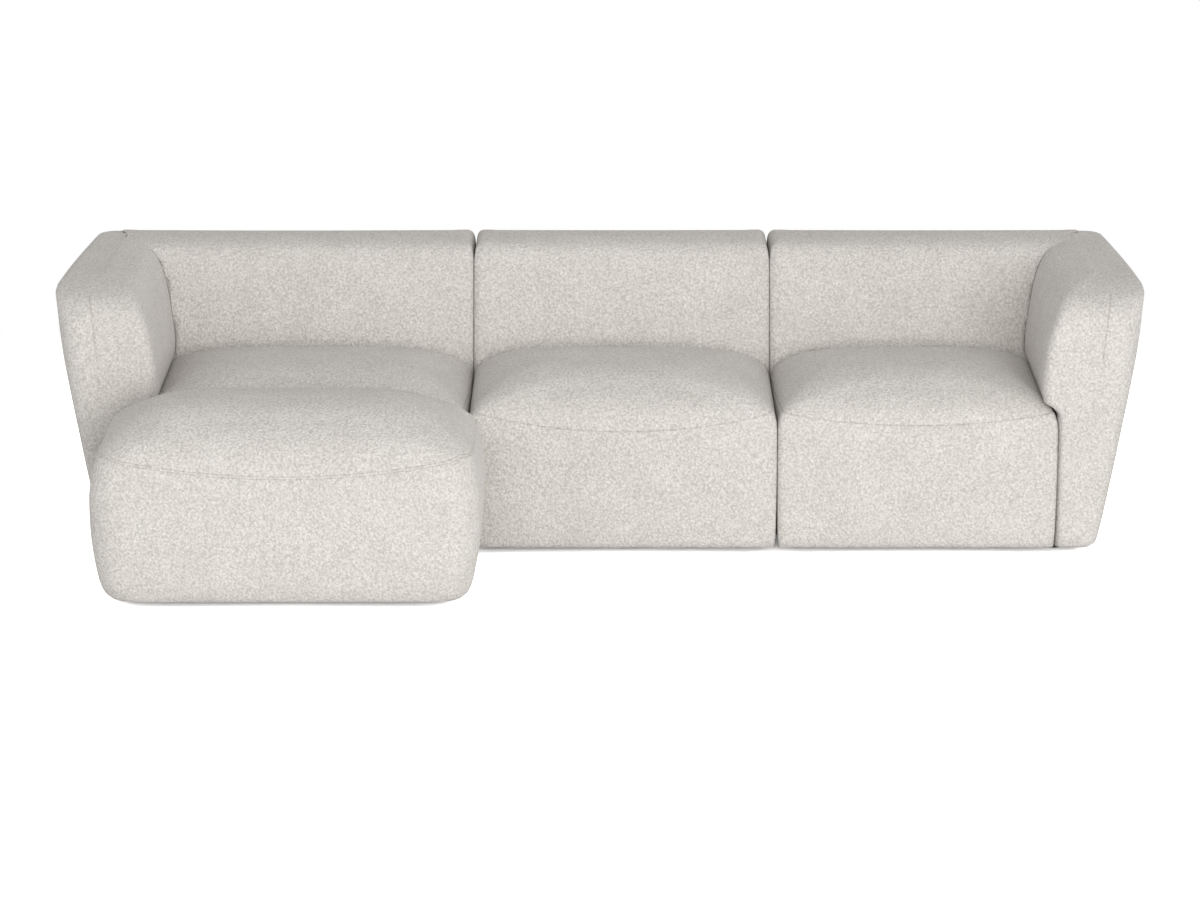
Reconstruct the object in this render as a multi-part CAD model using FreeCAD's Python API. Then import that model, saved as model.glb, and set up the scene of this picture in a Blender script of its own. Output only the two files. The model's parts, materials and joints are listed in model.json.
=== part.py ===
import FreeCAD, Part
import math
import os

V = FreeCAD.Vector

# Modular corner sofa: three seat modules side by side and a loose pouf in front of the left one.
# X runs to the right, Y to the back, Z up. The origin is on the floor under the middle of the whole.
# Every module is first drawn with its front at Y = 0 and its inner side at X = 0.

# Overall sizes
LEFT_SEAT_WIDTH = 863.0
CENTRE_SEAT_WIDTH = 820.0
RIGHT_SEAT_WIDTH = 743.0
POUF_WIDTH = 995.0
POUF_DEPTH = 589.0
POUF_FROM_ARM_OUTSIDE = 150.0
ARM_REACH = 236.0
HEIGHT = 715.0
RIM_HEIGHT = 352.0
BASE_DEPTH = 895.0
REAR_FLARE = 98.0
BACK_FRONT = 620.0
BACK_LEAN = 170.0

# Crowned seats
SEAT_DRAW_IN = 20.0
SEAT_SIDE_DRAW_IN = 5.0
POUF_DRAW_IN = 44.0
POUF_END_DRAW_IN = 40.0
CROWN_RISE = 121.0
CROWN_RUN = 250.0
CROWN_REAR_RUN = 210.0
POUF_CROWN_RISE = 150.0
SEAT_CORNER_RADIUS = 14.0
SEAT_REAR_RADIUS = 12.0
POUF_CORNER_RADIUS = 80.0

# Arms and backs
ARM_SWELL_ABOVE_RIM = 39.0
ARM_FRONT_ROUND = 290.0
ARM_REAR_TAPER = 34.0
ARM_INNER_TAPER = 15.0
ARM_FRONT_RADIUS = 24.0
ARM_REAR_RADIUS = 50.0
ARM_ROUNDING = 52.0
BACK_EDGE_RADIUS = 16.0
BACK_CORNER = 30.0
BACK_BEHIND_ARM = 12.0

# Fabric, foam and clearances
FABRIC = 2.5
SKIN_GAP = 0.4
SIDE_GAP = 0.4
FIT_GAP = 0.2
OVERRUN = 30.0
TOPPER_BASE_HEIGHT = 330.0

# Base frames
FABRIC_BOTTOM = 20.0
FRAME_INSET = 32.0
RAIL = 25.0
RAIL_HEIGHT = 90.0
CORNER_BLOCK = 100.0
CROSS_RAILS = 2
DUST_COVER = 0.8
DUST_COVER_MARGIN = 3.0

# Webbing
STRAP = 1.2
STRAP_WIDTH = 60.0
BACK_STRAPS = 6
SIDE_STRAPS = 4

# Standing frames of the backs and arms
RIB = 18.0
BACK_RIBS = 4
ARM_RIBS = 4
FRAME_TOP_HEIGHT = 640.0
BACK_FRAME_FOOT_DEPTH = 195.0
BACK_FRAME_HEAD_FRONT = 745.0
BACK_FRAME_HEAD_DEPTH = 185.0
BACK_FRAME_END = 70.0
ARM_FRAME_FRONT = 130.0
ARM_FRAME_FOOT_WIDTH = 55.0
ARM_FRAME_HEAD_INNER = 45.0
ARM_FRAME_HEAD_WIDTH = 100.0

# Feet and fasteners
FOOT_INSET = 65.0
FOOT_RADIUS = 26.0
FOOT_TIP_RADIUS = 22.0
SCREW_RADIUS = 2.5
SCREW_HEAD_RADIUS = 5.0
SCREW_HEAD_HEIGHT = 4.0
SCREW_RECESS = 6.0
SCREW_DEPTH = 30.0
BOLT_RADIUS = 4.0
BOLT_HEAD_RADIUS = 9.0
BOLT_HEAD_HEIGHT = 6.0
BOLT_GRIP = 14.0
BOLTS = 3
BOLT_INSET = 85.0

# Connectors between modules: a strip with an upturned tongue, and a slotted plate that drops over it
PLATE = 2.5
PLATE_LENGTH = 70.0
PLATE_MARGIN = 2.0
STRIP_WIDTH = 30.0
TONGUE_WIDTH = 22.0
TONGUE_HEIGHT = 16.0
TONGUE_CLEARANCE = 3.0
SLOT_GAP = 0.6
SLOT_BORDER = 12.0
STRIP_DROP = 4.0
CONNECTOR_FRONT = 200.0
CONNECTOR_REAR = 700.0
CONNECTOR_SCREW_RADIUS = 2.0
CONNECTOR_SCREW_DEPTH = 20.0
CONNECTOR_SCREW_HEAD_RADIUS = 4.0
CONNECTOR_SCREW_HEAD_HEIGHT = 2.0

# Heights of the seat rows as shares from the fabric's lower edge to the rim, and how far each draws in
seat_height_shares = (0, 0.045, 0.12, 0.205, 0.36, 0.54, 0.81, 1)
seat_draw_shares = (1, 0.70, 0.46, 0.33, 0.17, 0.05, 0, 0.16)

# The crown above the rim: shares of a quarter turn, and how far a seat's rear edge has fallen in
crown_turn_shares = (0.17, 0.34, 0.5, 0.66, 0.83, 1)
crown_rear_shares = (0.02, 0.08, 0.2, 0.42, 0.7, 1)

# Rows of the backs and arms: heights below and above the place where the arms start to swell
lower_height_shares = (0, 0.038, 0.108, 0.35, 1)
upper_height_shares = (0.105, 0.244, 0.398, 0.552, 0.682, 0.784, 0.867, 0.929, 0.969, 0.991, 1)

# At each of those rows: the arm's two sides and front, the flare of the rear and the lean of the backs
arm_outer_shares = (0.415, 0.462, 0.496, 0.576, 0.771, 0.80, 0.835, 0.87, 0.90, 0.925, 0.945, 0.965, 0.985,
                    0.975, 0.93, 0.86)
arm_inner_shares = (0, 0, 0, 0, 0, -0.161, -0.174, -0.161, -0.131, -0.085, -0.034, 0.025, 0.10, 0.20,
                    0.34, 0.48)
arm_inner_taper_shares = (0, 0, 0, 0, 0, 0.33, 0.55, 0.87, 1, 0.8, 0.67, 0.53, 0.27, 0, 0, 0)
arm_rounding_shares = (0.1, 0.1, 0.15, 0.2, 0.3, 0.4, 0.5, 0.6, 0.7, 0.8, 0.9, 1, 1, 1, 1, 1)
arm_front_shares = (0.076, 0.024, 0.01, 0, 0, 0, 0, 0, 0.007, 0.024, 0.062, 0.145, 0.276, 0.483, 0.69, 1)
rear_flare_shares = (0, 0.03, 0.08, 0.235, 0.61, 0.66, 0.73, 0.81, 0.90, 0.97, 1, 0.97, 0.88, 0.70, 0.48, 0.2)
back_lean_shares = (0, 0, 0, 0, 0, 0.045, 0.115, 0.195, 0.275, 0.345, 0.41, 0.47, 0.54, 0.64, 0.78, 1)
back_corner_shares = (0, 0, 0, 0, 0, 0, 0, 0, 0, 0, 0, 0.03, 0.13, 0.34, 0.62, 1)
WIDEST_RADIUS_SHARE = 0.42

# Places worked out from the sizes above
FRAME_TOP = FABRIC_BOTTOM + RAIL_HEIGHT
WEBBING_TOP = FRAME_TOP + STRAP + STRAP
DUST_BOTTOM = FABRIC_BOTTOM - DUST_COVER
ARM_BASE = ARM_REACH * arm_outer_shares[0]
SWELL_HEIGHT = RIM_HEIGHT + ARM_SWELL_ABOVE_RIM
SEATS_WIDTH = LEFT_SEAT_WIDTH + CENTRE_SEAT_WIDTH + RIGHT_SEAT_WIDTH
LEFT_EDGE = LEFT_SEAT_WIDTH - SEATS_WIDTH / 2
RIGHT_EDGE = LEFT_EDGE + CENTRE_SEAT_WIDTH
PLATE_START = FRAME_INSET + PLATE_MARGIN
PLATE_END = FRAME_INSET + RAIL - PLATE_MARGIN
TONGUE_REACH = FRAME_INSET + RAIL + TONGUE_CLEARANCE + PLATE
POUF_LEFT = LEFT_EDGE - LEFT_SEAT_WIDTH - ARM_REACH + POUF_FROM_ARM_OUTSIDE
FRONT_LINE = (POUF_DEPTH + SIDE_GAP + SIDE_GAP - BASE_DEPTH - REAR_FLARE) / 2


def box(low, high):
    """A box between two corners."""
    return Part.makeBox(high.x - low.x, high.y - low.y, high.z - low.z, low)


def rod(radius, start, end):
    """A cylinder from one point to another."""
    return Part.makeCylinder(radius, (end - start).Length, start, end - start)


def ring(z, low_x, high_x, front, rear, radii, tapers):
    """A closed outline of lines and corner arcs. The tapers draw the two rear corners in."""
    rear_low_x = low_x + tapers[0]
    rear_high_x = high_x - tapers[1]
    corners = (V(low_x, front, z), V(high_x, front, z), V(rear_high_x, rear, z), V(rear_low_x, rear, z))
    widest = WIDEST_RADIUS_SHARE * min(rear_high_x - rear_low_x, rear - front)
    arcs = []
    for place, corner in enumerate(corners):
        back = (corners[place - 1] - corner).normalize()
        ahead = (corners[(place + 1) % len(corners)] - corner).normalize()
        half = math.acos(back.dot(ahead)) / 2
        radius = min(radii[place], widest)
        reach = radius / math.tan(half)
        centre = corner + (back + ahead).normalize() * (radius / math.sin(half))
        middle = centre + (corner - centre).normalize() * radius
        arcs.append((corner + back * reach, middle, corner + ahead * reach))
    edges = []
    for place, (start, middle, end) in enumerate(arcs):
        edges.append(Part.Arc(start, middle, end).toShape())
        edges.append(Part.LineSegment(end, arcs[(place + 1) % len(arcs)][0]).toShape())
    return Part.Wire(edges)


def form(rows, depth, open_below):
    """A soft form lofted through its rows, all drawn in by a depth. Open ones run on below."""
    low = rows[0]["z"]
    fall = depth / (rows[-1]["z"] - low)
    rings = []
    for row in rows:
        z = row["z"] - fall * (row["z"] - low)
        radii = [max(radius - depth, FABRIC) for radius in row["radii"]]
        edges = (row["low_x"] + depth, row["high_x"] - depth, row["front"] + depth, row["rear"] - depth)
        if open_below and not rings:
            rings.append(ring(z - OVERRUN, *edges, radii, row["tapers"]))
        rings.append(ring(z, *edges, radii, row["tapers"]))
    return Part.makeLoft(rings, True, True)


def shell(rows):
    """The sewn cover of a form: one fabric thickness, open at the bottom."""
    return form(rows, 0, False).cut(form(rows, FABRIC, True))


def filling(rows):
    """What fills a cover, a little clear of the fabric."""
    return form(rows, FABRIC + SKIN_GAP, False)


def seat_rows(low_x, high_x, front, rear, side_draw, end_draw, rear_draw, radius, rear_radius, rise):
    """The rows of a crowned seat: sides that draw in below, and a low crown above the rim."""
    rows = []
    for height, draw in zip(seat_height_shares, seat_draw_shares):
        rows.append({
            "z": FABRIC_BOTTOM + height * (RIM_HEIGHT - FABRIC_BOTTOM),
            "low_x": low_x + draw * side_draw,
            "high_x": high_x - draw * side_draw,
            "front": front + draw * end_draw,
            "rear": rear - draw * rear_draw,
            "radii": (radius, radius, rear_radius, rear_radius),
            "tapers": (0, 0)})
    rim = rows[-1]
    for turn, fallen in zip(crown_turn_shares, crown_rear_shares):
        angle = math.radians(90 * turn)
        run = CROWN_RUN * (1 - math.cos(angle))
        rear_run = run if rear_draw else CROWN_REAR_RUN * fallen
        rows.append({
            "z": RIM_HEIGHT + rise * math.sin(angle),
            "low_x": rim["low_x"] + run,
            "high_x": rim["high_x"] - run,
            "front": rim["front"] + run,
            "rear": rim["rear"] - rear_run,
            "radii": (radius + run, radius + run, rear_radius + rear_run, rear_radius + rear_run),
            "tapers": (0, 0)})
    return rows


def tall_heights():
    """The heights of the rows of the backs and arms."""
    lower = [FABRIC_BOTTOM + share * (SWELL_HEIGHT - FABRIC_BOTTOM) for share in lower_height_shares]
    return lower + [SWELL_HEIGHT + share * (HEIGHT - SWELL_HEIGHT) for share in upper_height_shares]


def arm_rows(width):
    """The rows of an arm: narrow at the floor, leaning out, swollen over the seat and round on top."""
    rows = []
    for row, height in enumerate(tall_heights()):
        tapers = (ARM_INNER_TAPER * arm_inner_taper_shares[row], ARM_REAR_TAPER * arm_outer_shares[row])
        rounding = ARM_ROUNDING * arm_rounding_shares[row]
        rows.append({
            "z": height,
            "low_x": width + SIDE_GAP / 2 + ARM_REACH * arm_inner_shares[row],
            "high_x": width + ARM_REACH * arm_outer_shares[row],
            "front": ARM_FRONT_ROUND * arm_front_shares[row],
            "rear": BASE_DEPTH + REAR_FLARE * rear_flare_shares[row],
            "radii": (ARM_FRONT_RADIUS, ARM_FRONT_RADIUS + rounding, ARM_REAR_RADIUS + rounding,
                      BACK_EDGE_RADIUS + rounding),
            "tapers": tapers})
    return rows


def back_rows(width, arm):
    """The rows of a back: its front leans, its rear flares, and it runs on a little behind an arm."""
    rows = []
    for row, height in enumerate(tall_heights()):
        rounding = BACK_CORNER * back_corner_shares[row]
        arm_inner = ARM_REACH * arm_inner_shares[row] + ARM_INNER_TAPER * arm_inner_taper_shares[row]
        behind_arm = width + max(arm_inner, 0) + BACK_BEHIND_ARM
        rows.append({
            "z": height,
            "low_x": SIDE_GAP + rounding,
            "high_x": behind_arm if arm else width - SIDE_GAP - rounding,
            "front": BACK_FRONT + SIDE_GAP + BACK_LEAN * back_lean_shares[row],
            "rear": BASE_DEPTH + REAR_FLARE * rear_flare_shares[row],
            "radii": (BACK_EDGE_RADIUS, BACK_EDGE_RADIUS, BACK_EDGE_RADIUS, BACK_EDGE_RADIUS),
            "tapers": (0, 0)})
    return rows


def spread(start, end, count):
    """Evenly spaced places from a start to an end."""
    return [start + (end - start) * step / (count - 1) for step in range(count)]


def base_frame(low, high, x_rails, y_rails):
    """A ring of rails on edge with corner blocks, and cross rails at the given places."""
    inner_low = low + V(RAIL, RAIL, 0)
    inner_high = high - V(RAIL, RAIL, 0)
    frame = box(low, high).cut(box(inner_low, inner_high))
    for x in (low.x, high.x - CORNER_BLOCK):
        for y in (low.y, high.y - CORNER_BLOCK):
            corner = V(x, y, low.z)
            frame = frame.fuse(box(corner, corner + V(CORNER_BLOCK, CORNER_BLOCK, high.z - low.z)))
    for x in x_rails:
        frame = frame.fuse(box(V(x, inner_low.y, low.z), V(x + RAIL, inner_high.y, high.z)))
    for y in y_rails:
        frame = frame.fuse(box(V(inner_low.x, y, low.z), V(inner_high.x, y + RAIL, high.z)))
    return frame.removeSplitter()


def webbing(low_x, high_x, front, rear):
    """Straps from side to side, and on them straps from front to back."""
    straps = []
    for y in spread(front + RAIL + STRAP_WIDTH, rear - RAIL - 2 * STRAP_WIDTH, SIDE_STRAPS):
        straps.append(box(V(low_x, y, FRAME_TOP), V(high_x, y + STRAP_WIDTH, FRAME_TOP + STRAP)))
    for x in spread(low_x + RAIL + STRAP_WIDTH / 2, high_x - RAIL - 3 * STRAP_WIDTH / 2, BACK_STRAPS):
        straps.append(box(V(x, front, FRAME_TOP + STRAP), V(x + STRAP_WIDTH, rear, WEBBING_TOP)))
    return straps


def prism(points, direction):
    """A prism of a closed outline along a direction."""
    return Part.Face(Part.makePolygon(list(points) + [points[0]])).extrude(direction)


def grown(points, margin):
    """A standing outline, from its low foot to its high foot, high head and low head, made larger."""
    low_foot, high_foot, high_head, low_head = points
    across = (high_foot - low_foot).normalize() * margin
    up = V(0, 0, margin)
    return [low_foot - across - up, high_foot + across - up, high_head + across + up, low_head - across + up]


def standing_frame(outline, run, rib_count, foot):
    """Ribs of one outline along a run, joined by a foot rail and a head rail of one rib's thickness."""
    along = run * (1 / run.Length)
    whole = prism(outline, run)
    reach = whole.BoundBox
    low = V(reach.XMin, reach.YMin, foot)
    high = V(reach.XMax, reach.YMax, reach.ZMax)
    foot_rail = whole.common(box(low, V(high.x, high.y, foot + RIB)))
    head_rail = whole.common(box(V(low.x, low.y, high.z - RIB), high))
    frame = foot_rail.fuse(head_rail)
    for place in spread(0, run.Length - RIB, rib_count):
        frame = frame.fuse(prism([point + along * place for point in outline], along * RIB))
    return frame.removeSplitter()


def back_frame_outline(x, rear):
    """The rib of a back, standing on the base frame and leaning with the back."""
    head = BACK_FRAME_HEAD_FRONT
    return [
        V(x, rear - BACK_FRAME_FOOT_DEPTH, FRAME_TOP),
        V(x, rear, FRAME_TOP),
        V(x, head + BACK_FRAME_HEAD_DEPTH, FRAME_TOP_HEIGHT),
        V(x, head, FRAME_TOP_HEIGHT)]


def arm_frame_outline(width, outside):
    """The rib of an arm, standing on the base frame and widening upwards."""
    head = width + ARM_FRAME_HEAD_INNER
    return [
        V(outside - ARM_FRAME_FOOT_WIDTH, ARM_FRAME_FRONT, FRAME_TOP),
        V(outside, ARM_FRAME_FRONT, FRAME_TOP),
        V(head + ARM_FRAME_HEAD_WIDTH, ARM_FRAME_FRONT, FRAME_TOP_HEIGHT),
        V(head, ARM_FRAME_FRONT, FRAME_TOP_HEIGHT)]


def foot_places(low, high):
    """A place under each corner block, set in from the fabric's lower edge."""
    near = low + V(FOOT_INSET, FOOT_INSET, 0)
    far = high - V(FOOT_INSET, FOOT_INSET, 0)
    return [V(x, y, 0) for x in (near.x, far.x) for y in (near.y, far.y)]


def foot(place):
    """A low glide with a recessed hole for its screw."""
    body = Part.makeCone(FOOT_TIP_RADIUS, FOOT_RADIUS, DUST_BOTTOM, place)
    hole = rod(SCREW_RADIUS + FIT_GAP, place, place + V(0, 0, DUST_BOTTOM))
    recess = rod(SCREW_HEAD_RADIUS + FIT_GAP, place, place + V(0, 0, SCREW_RECESS + SCREW_HEAD_HEIGHT))
    return body.cut(hole).cut(recess)


def foot_screw(place):
    """A screw up through a glide into its corner block."""
    head_low = place + V(0, 0, SCREW_RECESS)
    head_high = head_low + V(0, 0, SCREW_HEAD_HEIGHT)
    tip = place + V(0, 0, FABRIC_BOTTOM + SCREW_DEPTH)
    head = rod(SCREW_HEAD_RADIUS, head_low, head_high)
    return head.fuse(rod(SCREW_RADIUS, head_high, tip)).removeSplitter()


def foot_screw_hole(place):
    """The pilot hole of a foot screw."""
    return rod(SCREW_RADIUS + FIT_GAP, place, place + V(0, 0, FABRIC_BOTTOM + SCREW_DEPTH + FIT_GAP))


def bolt(place):
    """A bolt from the underside of the base frame up into a standing frame's foot rail."""
    head_low = place + V(0, 0, FABRIC_BOTTOM)
    head_high = head_low + V(0, 0, BOLT_HEAD_HEIGHT)
    tip = place + V(0, 0, FRAME_TOP + BOLT_GRIP)
    head = rod(BOLT_HEAD_RADIUS, head_low, head_high)
    return head.fuse(rod(BOLT_RADIUS, head_high, tip)).removeSplitter()


def bolt_hole(place):
    """The hole and counterbore of a bolt."""
    low = place + V(0, 0, FABRIC_BOTTOM)
    sunk = rod(BOLT_HEAD_RADIUS + FIT_GAP, low, low + V(0, 0, BOLT_HEAD_HEIGHT))
    return sunk.fuse(rod(BOLT_RADIUS + FIT_GAP, low, place + V(0, 0, FRAME_TOP + BOLT_GRIP + FIT_GAP)))


def hook(y):
    """A strip that steps down, passes under the neighbour at negative X and turns up in a tongue."""
    half = STRIP_WIDTH / 2
    low = DUST_BOTTOM - PLATE - STRIP_DROP
    bend = PLATE_START + PLATE
    tongue = V(-TONGUE_REACH, y - TONGUE_WIDTH / 2, low)
    shape = box(V(PLATE_START, y - PLATE_LENGTH / 2, DUST_BOTTOM - PLATE),
                V(PLATE_END, y + PLATE_LENGTH / 2, DUST_BOTTOM))
    shape = shape.fuse([
        box(V(PLATE_START, y - half, low), V(bend, y + half, DUST_BOTTOM)),
        box(V(-TONGUE_REACH, y - half, low), V(bend, y + half, low + PLATE)),
        box(tongue, tongue + V(PLATE, TONGUE_WIDTH, TONGUE_HEIGHT))])
    return pierced(shape.removeSplitter(), [connector_screw_hole(place) for place in plate_screws(y)])


def receiver(y):
    """A slotted plate under a side, which drops over the neighbour's tongue."""
    half = PLATE_LENGTH / 2
    low = V(PLATE_START, y - half, DUST_BOTTOM - PLATE)
    plate = box(low, V(TONGUE_REACH + SLOT_BORDER, y + half, DUST_BOTTOM))
    return pierced(plate, [tongue_room(y)] + [connector_screw_hole(place) for place in plate_screws(y)])


def tongue_room(y):
    """The room that a neighbour's tongue stands in."""
    half = TONGUE_WIDTH / 2 + SLOT_GAP
    high = DUST_BOTTOM - PLATE - STRIP_DROP + TONGUE_HEIGHT + SLOT_GAP
    return box(V(TONGUE_REACH - PLATE - SLOT_GAP, y - half, 0), V(TONGUE_REACH + SLOT_GAP, y + half, high))


def plate_screws(y):
    """Where the two screws of a connector plate stand, in the middle of the side rail."""
    middle = (PLATE_START + PLATE_END) / 2
    return [V(middle, y - PLATE_LENGTH / 3, 0), V(middle, y + PLATE_LENGTH / 3, 0)]


def connector_screw(place):
    """A short screw that holds a connector plate under the frame."""
    head_high = place + V(0, 0, DUST_BOTTOM - PLATE)
    head_low = head_high - V(0, 0, CONNECTOR_SCREW_HEAD_HEIGHT)
    tip = place + V(0, 0, FABRIC_BOTTOM + CONNECTOR_SCREW_DEPTH)
    head = rod(CONNECTOR_SCREW_HEAD_RADIUS, head_low, head_high)
    return head.fuse(rod(CONNECTOR_SCREW_RADIUS, head_high, tip)).removeSplitter()


def connector_screw_hole(place):
    """The hole of a connector screw."""
    tip = place + V(0, 0, FABRIC_BOTTOM + CONNECTOR_SCREW_DEPTH + FIT_GAP)
    return rod(CONNECTOR_SCREW_RADIUS + FIT_GAP, place, tip)


def pierced(shape, holes):
    """A shape with every hole cut out of it."""
    return shape.cut(holes) if holes else shape


def base(parts, low, high, x_rails, y_rails, webbing_high, holes):
    """The pieces that every module and the pouf have underneath, and the room that they take."""
    margin = V(DUST_COVER_MARGIN, DUST_COVER_MARGIN, 0)
    feet = foot_places(low, high)
    holes = holes + [foot_screw_hole(place) for place in feet]
    dust_low = low - margin - V(0, 0, DUST_COVER)
    dust_high = V(high.x, high.y, low.z) + margin
    parts["base_frame"] = [pierced(base_frame(low, high, x_rails, y_rails), holes)]
    parts["webbing"] = webbing(low.x, webbing_high.x, low.y, webbing_high.y)
    parts["dust_cover"] = [pierced(box(dust_low, dust_high), holes)]
    parts["feet"] = [foot(place) for place in feet]
    parts["foot_screws"] = [foot_screw(place) for place in feet]
    clear = V(FIT_GAP, FIT_GAP, 0)
    return box(low - clear - V(0, 0, OVERRUN), V(high.x, high.y, WEBBING_TOP) + clear)


def seat(parts, rows, room):
    """A seat's cover, its firm foam on the webbing and the soft topper on the foam."""
    inside = filling(rows)
    bounds = inside.BoundBox
    low = V(bounds.XMin, bounds.YMin, TOPPER_BASE_HEIGHT)
    high = V(bounds.XMax, bounds.YMax, bounds.ZMax)
    upper = box(low - V(OVERRUN, OVERRUN, 0), high + V(OVERRUN, OVERRUN, OVERRUN))
    parts["seat_cover"] = [shell(rows).cut(room)]
    parts["seat_topper"] = [inside.common(upper)]
    parts["seat_foam"] = [inside.cut(upper).cut(room)]


def seat_module(width, arm, hooks_at, receivers_at):
    """One seat module, its inner side at X = 0 and its arm, if it has one, beyond its width."""
    parts = {}
    low = V(FRAME_INSET, FRAME_INSET + SEAT_DRAW_IN, FABRIC_BOTTOM)
    end = width + ARM_BASE - FRAME_INSET if arm else width - FRAME_INSET
    high = V(end, BASE_DEPTH - FRAME_INSET, FRAME_TOP)
    seat_rail = BACK_FRONT - FRAME_INSET - RAIL
    seat_end = width - FRAME_INSET
    x_rails = spread(low.x, seat_end - RAIL, CROSS_RAILS + 2)[1:]
    bolts = [V(x, high.y - RAIL / 2, 0) for x in spread(low.x + BOLT_INSET, seat_end - BOLT_INSET, BOLTS)]
    if arm:
        places = spread(ARM_FRAME_FRONT + BOLT_INSET, high.y - BOLT_INSET, BOLTS)
        bolts.extend(V(high.x - RAIL / 2, y, 0) for y in places)
    bolt_holes = [bolt_hole(place) for place in bolts]
    hooks, receivers, screws, openings = connectors(width, hooks_at, receivers_at)
    webbing_high = V(seat_end, seat_rail + RAIL, 0)
    room = base(parts, low, high, x_rails, [seat_rail], webbing_high, bolt_holes + openings)
    if hooks:
        parts["connector_hooks"] = hooks
    if receivers:
        parts["connector_receivers"] = receivers
    parts["connector_screws"] = screws
    parts["frame_bolts"] = [bolt(place) for place in bolts]
    seat_high = width - SIDE_GAP / 2 if arm else width - SIDE_GAP
    seat(parts, seat_rows(SIDE_GAP, seat_high, 0, BACK_FRONT - SIDE_GAP, SEAT_SIDE_DRAW_IN, SEAT_DRAW_IN, 0,
                          SEAT_CORNER_RADIUS, SEAT_REAR_RADIUS, CROWN_RISE), room)
    rows = back_rows(width, arm)
    outline = back_frame_outline(BACK_FRAME_END, high.y)
    run = V(width - 2 * BACK_FRAME_END, 0, 0)
    parts["back_frame"] = [pierced(standing_frame(outline, run, BACK_RIBS, FRAME_TOP), bolt_holes)]
    taken = [room, form(arm_rows(width), -SIDE_GAP, False)] if arm else [room]
    parts["back_cover"] = [shell(rows).cut(taken)]
    parts["back_foam"] = [filling(rows).cut(taken + [frame_room(outline, run)])]
    if arm:
        rows = arm_rows(width)
        outline = arm_frame_outline(width, high.x)
        run = V(0, high.y - ARM_FRAME_FRONT, 0)
        parts["arm_frame"] = [pierced(standing_frame(outline, run, ARM_RIBS, FRAME_TOP), bolt_holes)]
        parts["arm_cover"] = [shell(rows).cut(room)]
        parts["arm_foam"] = [filling(rows).cut([room, frame_room(outline, run)])]
    return parts


def frame_room(outline, run):
    """The room that a standing frame takes in its foam."""
    along = run * (FIT_GAP / run.Length)
    return prism([point - along for point in grown(outline, FIT_GAP)], run + along + along)


def connectors(width, hooks_at, receivers_at):
    """The connectors of one module, on its low side or its high side, with their screws and holes."""
    hooks, receivers, screws, openings = [], [], [], []
    for side in hooks_at + receivers_at:
        for y in (CONNECTOR_FRONT, CONNECTOR_REAR):
            places = plate_screws(y)
            if side in hooks_at:
                hooks.append(sided(hook(y), side, width))
            else:
                receivers.append(sided(receiver(y), side, width))
                openings.append(sided(tongue_room(y), side, width))
            screws.extend(sided(connector_screw(place), side, width) for place in places)
            openings.extend(sided(connector_screw_hole(place), side, width) for place in places)
    return hooks, receivers, screws, openings


def sided(shape, side, width):
    """A shape drawn for the low side, or its mirror image on the high side."""
    if side == "low":
        return shape
    return shape.mirror(V(width / 2, 0, 0), V(1, 0, 0))


def pouf():
    """The loose pouf, its rear low-X corner at the origin."""
    parts = {}
    low = V(POUF_DRAW_IN + FRAME_INSET, -POUF_DEPTH + POUF_END_DRAW_IN + FRAME_INSET, FABRIC_BOTTOM)
    high = V(POUF_WIDTH - POUF_DRAW_IN - FRAME_INSET, -POUF_END_DRAW_IN - FRAME_INSET, FRAME_TOP)
    x_rails = spread(low.x, high.x - RAIL, CROSS_RAILS + 2)[1:-1]
    room = base(parts, low, high, x_rails, [], high, [])
    rows = seat_rows(0, POUF_WIDTH, -POUF_DEPTH, 0, POUF_DRAW_IN, POUF_END_DRAW_IN, POUF_END_DRAW_IN,
                     POUF_CORNER_RADIUS, POUF_CORNER_RADIUS, POUF_CROWN_RISE)
    seat(parts, rows, room)
    return parts


def save(prefix, parts, place, mirrored):
    """Writes each piece of a module, moved to its place on the floor plan."""
    for name, shapes in parts.items():
        placed = []
        for shape in shapes:
            for solid in shape.Solids:
                solid = solid.mirror(V(0, 0, 0), V(1, 0, 0)) if mirrored else solid.copy()
                solid.translate(place + V(0, FRONT_LINE, 0))
                placed.append(solid)
        whole = placed[0] if len(placed) == 1 else Part.makeCompound(placed)
        whole.exportStep("parts/" + prefix + "_" + name + ".step")


os.makedirs("parts", exist_ok=True)
save("left", seat_module(LEFT_SEAT_WIDTH, True, ["low"], []), V(LEFT_EDGE, 0, 0), True)
save("centre", seat_module(CENTRE_SEAT_WIDTH, False, ["high"], ["low"]), V(LEFT_EDGE, 0, 0), False)
save("right", seat_module(RIGHT_SEAT_WIDTH, True, [], ["low"]), V(RIGHT_EDGE, 0, 0), False)
save("pouf", pouf(), V(POUF_LEFT, -SIDE_GAP - SIDE_GAP, 0), False)
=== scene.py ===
import json
import math

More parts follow.
